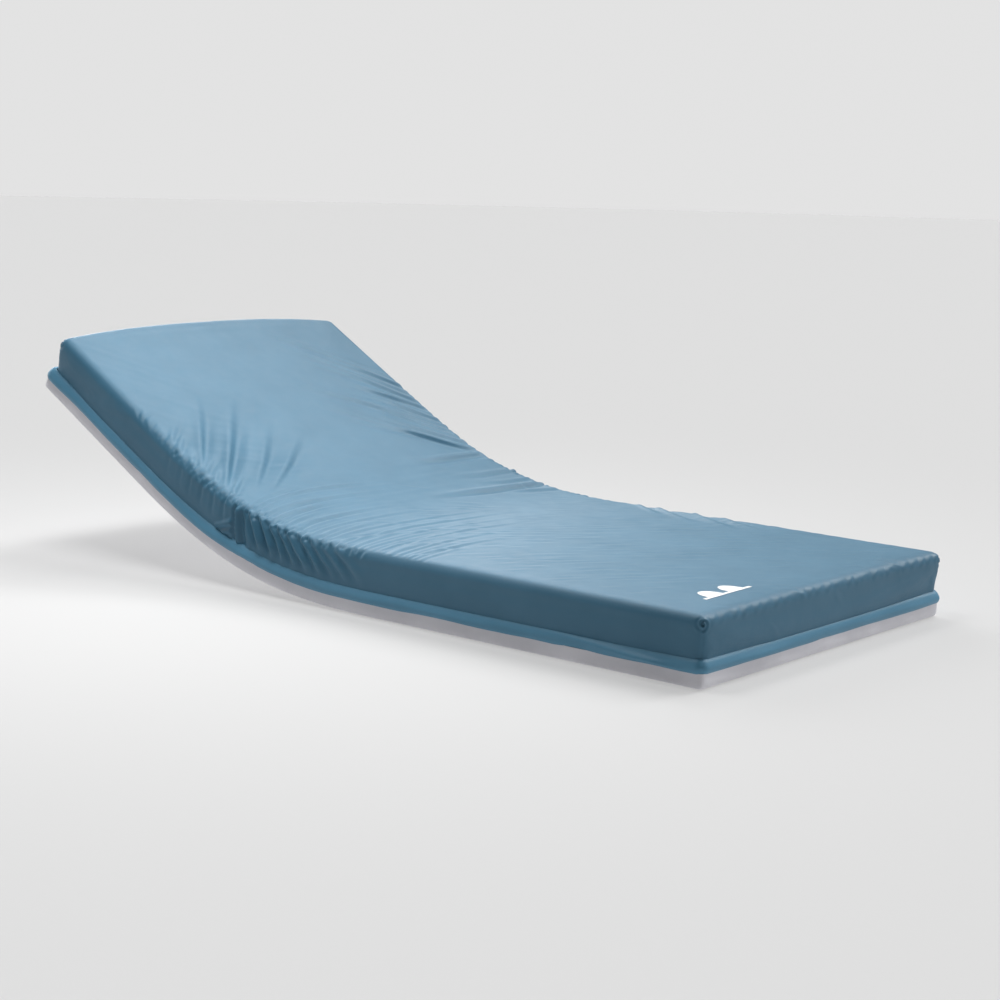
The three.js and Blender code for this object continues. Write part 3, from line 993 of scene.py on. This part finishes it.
def zip_profile(places):
    """Tape, coil and tape, in one band under the flap. The upper tape runs in to the hem."""
    rows = [
        (-0.0112, 0.0550),
        (-0.0096, 0.0562),
        (-0.0046, 0.0470),
        (-0.0018, ZIP_MIDDLE + 0.0032),
        (0.0000, ZIP_MIDDLE + 0.0016),
        (0.0000, ZIP_MIDDLE - 0.0016),
        (-0.0018, ZIP_MIDDLE - 0.0032),
        (-0.0036, 0.0290),
        (-0.0044, 0.0290),
        (-0.0028, ZIP_MIDDLE),
        (-0.0058, 0.0470),
    ]
    profile = np.zeros((len(places), len(rows), 2))
    profile[:, :] = rows
    return profile


# ------------------------------------------------------------------ foams


FOAM_INSET = 0.019
FOAM_RADIUS = 0.006
FOAM_CELL = 0.03
CORE_BOTTOM = 0.003
CORE_TOP = THICKNESS - 0.034
INSERT_BOTTOM = THICKNESS - 0.033
INSERT_TOP = THICKNESS - 0.008
RAIL = 0.1


def foam_box(name, half, n0, n1, material, slot):
    low, high = (FOAM_INSET, -half, n0), (LENGTH - FOAM_INSET, half, n1)
    s_lines = spaced(low[0], high[0], FOAM_RADIUS, FOAM_CELL)
    y_lines = spaced(low[1], high[1], FOAM_RADIUS, FOAM_CELL)
    n_lines = spaced(n0, n1, FOAM_RADIUS, FOAM_CELL)
    box_points, faces = box_cage(s_lines, y_lines, n_lines, ["top", "bottom"])
    flat = round_box(box_points, low, high, FOAM_RADIUS)
    cage = make_object(name + "_cage", bend(flat), faces)
    mesh = cage.data.copy()
    bpy.data.objects.remove(cage)
    Layer(name, mesh, flat, material, slot, fill=1.0).cut_chain(nodes_by_piece(slot))


# ------------------------------------------------------------------ the printed mark


MARK_BAR = 9 * MM
SOLE_OFFSET = 0.034
SOLE_HALF_WIDTH = 0.024
MARK_COLUMNS = 209
MARK_ROWS = 25
INK_THICKNESS = 0.6 * MM


def build_mark(cover_mesh):
    """Two foot soles on a bar, printed on the cover at the foot end."""
    low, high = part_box("foot_mark")
    width = high[1] - low[1]
    depth = high[0] - low[0]
    center = ((low[0] + high[0]) / 2, (low[1] + high[1]) / 2)
    tree = BVHTree.FromPolygons([tuple(p) for p in points_of(cover_mesh)],
                                [tuple(p.vertices) for p in cover_mesh.polygons])
    across = np.linspace(-width / 2, width / 2, MARK_COLUMNS)
    dome = np.zeros(len(across))
    for middle in (-SOLE_OFFSET, SOLE_OFFSET):
        sole = np.sqrt(np.maximum(0, 1 - ((across - middle) / SOLE_HALF_WIDTH) ** 2))
        dome = np.maximum(dome, sole)
    points, faces = [], []
    for i, a in enumerate(across):
        tall = MARK_BAR + dome[i] * (depth - MARK_BAR)
        for t in np.linspace(0, 1, MARK_ROWS):
            place = Vector((center[0] + depth / 2 - tall * t, center[1] + a, 0.4))
            hit, normal, _, _ = tree.ray_cast(place, Vector((0, 0, -1)))
            points.append(hit + normal * INK_THICKNESS)
    for i in range(MARK_COLUMNS - 1):
        for j in range(MARK_ROWS - 1):
            k = i * MARK_ROWS + j
            faces.append((k, k + MARK_ROWS, k + MARK_ROWS + 1, k + 1))
    mark = make_object("printed_mark", points, faces)
    mark.data.materials.append(INK)
    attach(mark, "leg")
    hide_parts("foot_mark")


# ------------------------------------------------------------------ floor, light and camera


FLOOR_HALF = 30.0
FLOOR_GLOW = 0.37
BACKDROP_RADIUS = 29
BACKDROP_SIDES = 64
BACKDROP_GLOW = 0.76


def glowing_paper(name, color, roughness, specular, glow):
    material, _, _, shader = node_material(name, color, roughness)
    shader.inputs["Emission Color"].default_value = (1, 1, 1, 1)
    shader.inputs["Emission Strength"].default_value = glow
    shader.inputs["Specular IOR Level"].default_value = specular
    return material


def build_stage():
    """A pale floor that glows a little, and a pale backdrop all round that only the camera sees."""
    half = FLOOR_HALF
    corners = [(-half, -half, 0), (half, -half, 0), (half, half, 0), (-half, half, 0)]
    floor = make_object("floor", corners, [(0, 1, 2, 3)])
    floor.data.materials.append(glowing_paper("floor_paper", (0.3, 0.3, 0.3), 0.9, 0, FLOOR_GLOW))
    sides = BACKDROP_SIDES
    points = [(BACKDROP_RADIUS * math.cos(a), BACKDROP_RADIUS * math.sin(a), z)
              for z in (-1.0, 24.0) for a in np.linspace(0, 2 * math.pi, sides + 1)[:-1]]
    faces = [(i, (i + 1) % sides, sides + (i + 1) % sides, sides + i) for i in range(sides)]
    faces.append(tuple(range(sides, 2 * sides)))
    backdrop = make_object("backdrop", points, faces)
    paper = glowing_paper("backdrop_paper", (0, 0, 0), 1, 0.5, BACKDROP_GLOW)
    backdrop.data.materials.append(paper)
    backdrop.visible_diffuse = False
    backdrop.visible_glossy = False
    backdrop.visible_transmission = False
    backdrop.visible_shadow = False


def area_light(name, place, target, size, power):
    light = bpy.data.lights.new(name, "AREA")
    light.shape = "RECTANGLE"
    light.size, light.size_y = size
    light.energy = power
    light.spread = math.radians(90)
    obj = bpy.data.objects.new(name, light)
    bpy.context.scene.collection.objects.link(obj)
    obj.location = place
    obj.rotation_euler = (Vector(target) - Vector(place)).to_track_quat("-Z", "Y").to_euler()


def sun_light(name, toward, power, spread):
    light = bpy.data.lights.new(name, "SUN")
    light.energy = power
    light.angle = math.radians(spread)
    obj = bpy.data.objects.new(name, light)
    bpy.context.scene.collection.objects.link(obj)
    obj.rotation_euler = Vector(toward).to_track_quat("Z", "Y").to_euler()


# Broad soft lights far away: degrees left of +Y and above the floor, the half angle each one
# spans, and its strength in the middle.
SOFT_LIGHTS = [
    (68, 13, 36, 5.1),
    (60, 8, 22, 2.2),
    (-57, 25, 36, 1.2),
    (105, 14, 28, 1.4),
]


DARKEST_SKY = 0.02


def build_lights():
    world = bpy.data.worlds.new("studio")
    bpy.context.scene.world = world
    world.use_nodes = True
    nodes, links = world.node_tree.nodes, world.node_tree.links
    coordinates = nodes.new("ShaderNodeTexCoord")
    total = DARKEST_SKY
    for left, up, half, power in SOFT_LIGHTS:
        azimuth, elevation = math.radians(left), math.radians(up)
        toward = nodes.new("ShaderNodeVectorMath")
        toward.operation = "DOT_PRODUCT"
        toward.inputs[1].default_value = (
            -math.sin(azimuth) * math.cos(elevation),
            math.cos(azimuth) * math.cos(elevation), math.sin(elevation))
        links.new(coordinates.outputs["Generated"], toward.inputs[0])
        level = nodes.new("ShaderNodeMapRange")
        level.interpolation_type = "SMOOTHSTEP"
        level.inputs["From Min"].default_value = math.cos(math.radians(half))
        level.inputs["From Max"].default_value = 1
        level.inputs["To Max"].default_value = power
        links.new(toward.outputs["Value"], level.inputs["Value"])
        total = math_node(nodes, links, "ADD", level.outputs["Result"], total).outputs[0]
    links.new(total, nodes["Background"].inputs["Strength"])
    nodes["Background"].inputs["Color"].default_value = (1, 1, 1, 1)
    sun_light("high_sun", (0.06, 0.5, 0.86), 1.65, 30)
    sun_light("left_sun", (-0.33, 0.6, 0.729), 0.64, 18)
    sun_light("right_sun", (0.16, 0.77, 0.61), 1.1, 14)
    area_light("top_light", (-0.35, -0.7, 2.4), (-0.25, -0.35, 0), (1.0, 1.0), 11.6)


# Where the camera stands: degrees round from -Y towards +X, degrees up and roll, how far it is
# from the middle of the foot end's lower edge, and its focal length on a 36 mm sensor.
CAMERA_ANGLES = (39.7, 9.62, 1.4)
CAMERA_FROM_FOOT = (2.103, -3.574, 0.983)
CAMERA_LENS = 75.8


def build_camera():
    azimuth, elevation, roll = (math.radians(a) for a in CAMERA_ANGLES)
    back = Vector((math.sin(azimuth) * math.cos(elevation),
                   -math.cos(azimuth) * math.cos(elevation), math.sin(elevation)))
    level_right = Vector((math.cos(azimuth), math.sin(azimuth), 0))
    level_up = back.cross(level_right)
    right = level_right * math.cos(roll) + level_up * math.sin(roll)
    up = level_up * math.cos(roll) - level_right * math.sin(roll)
    camera = bpy.data.objects.new("camera", bpy.data.cameras.new("camera"))
    camera.matrix_world = Matrix((right, up, back)).transposed().to_4x4()
    x, y, z = CAMERA_FROM_FOOT
    camera.matrix_world.translation = Vector((FOOT_X + x, y, z))
    camera.data.sensor_width = 36
    camera.data.lens = CAMERA_LENS
    bpy.context.scene.collection.objects.link(camera)
    bpy.context.scene.camera = camera


# ------------------------------------------------------------------ assembly

bpy.context.scene.view_settings.view_transform = "Standard"
build_stage()
build_lights()
build_camera()
cover_mesh = build_top_cover()
build_base_cover()
build_flap()
build_flap_stitches()
build_zip()
foam_box("core", HALF - FOAM_INSET, CORE_BOTTOM, CORE_TOP, FOAM, "core_foam")
foam_box("insert", HALF - RAIL, INSERT_BOTTOM, INSERT_TOP, INSERT, "insert_foam")
build_mark(cover_mesh)
for metal_node in ("zip_slider", "zip_puller"):
    for slot in bpy.data.objects[metal_node].material_slots:
        slot.material = METAL
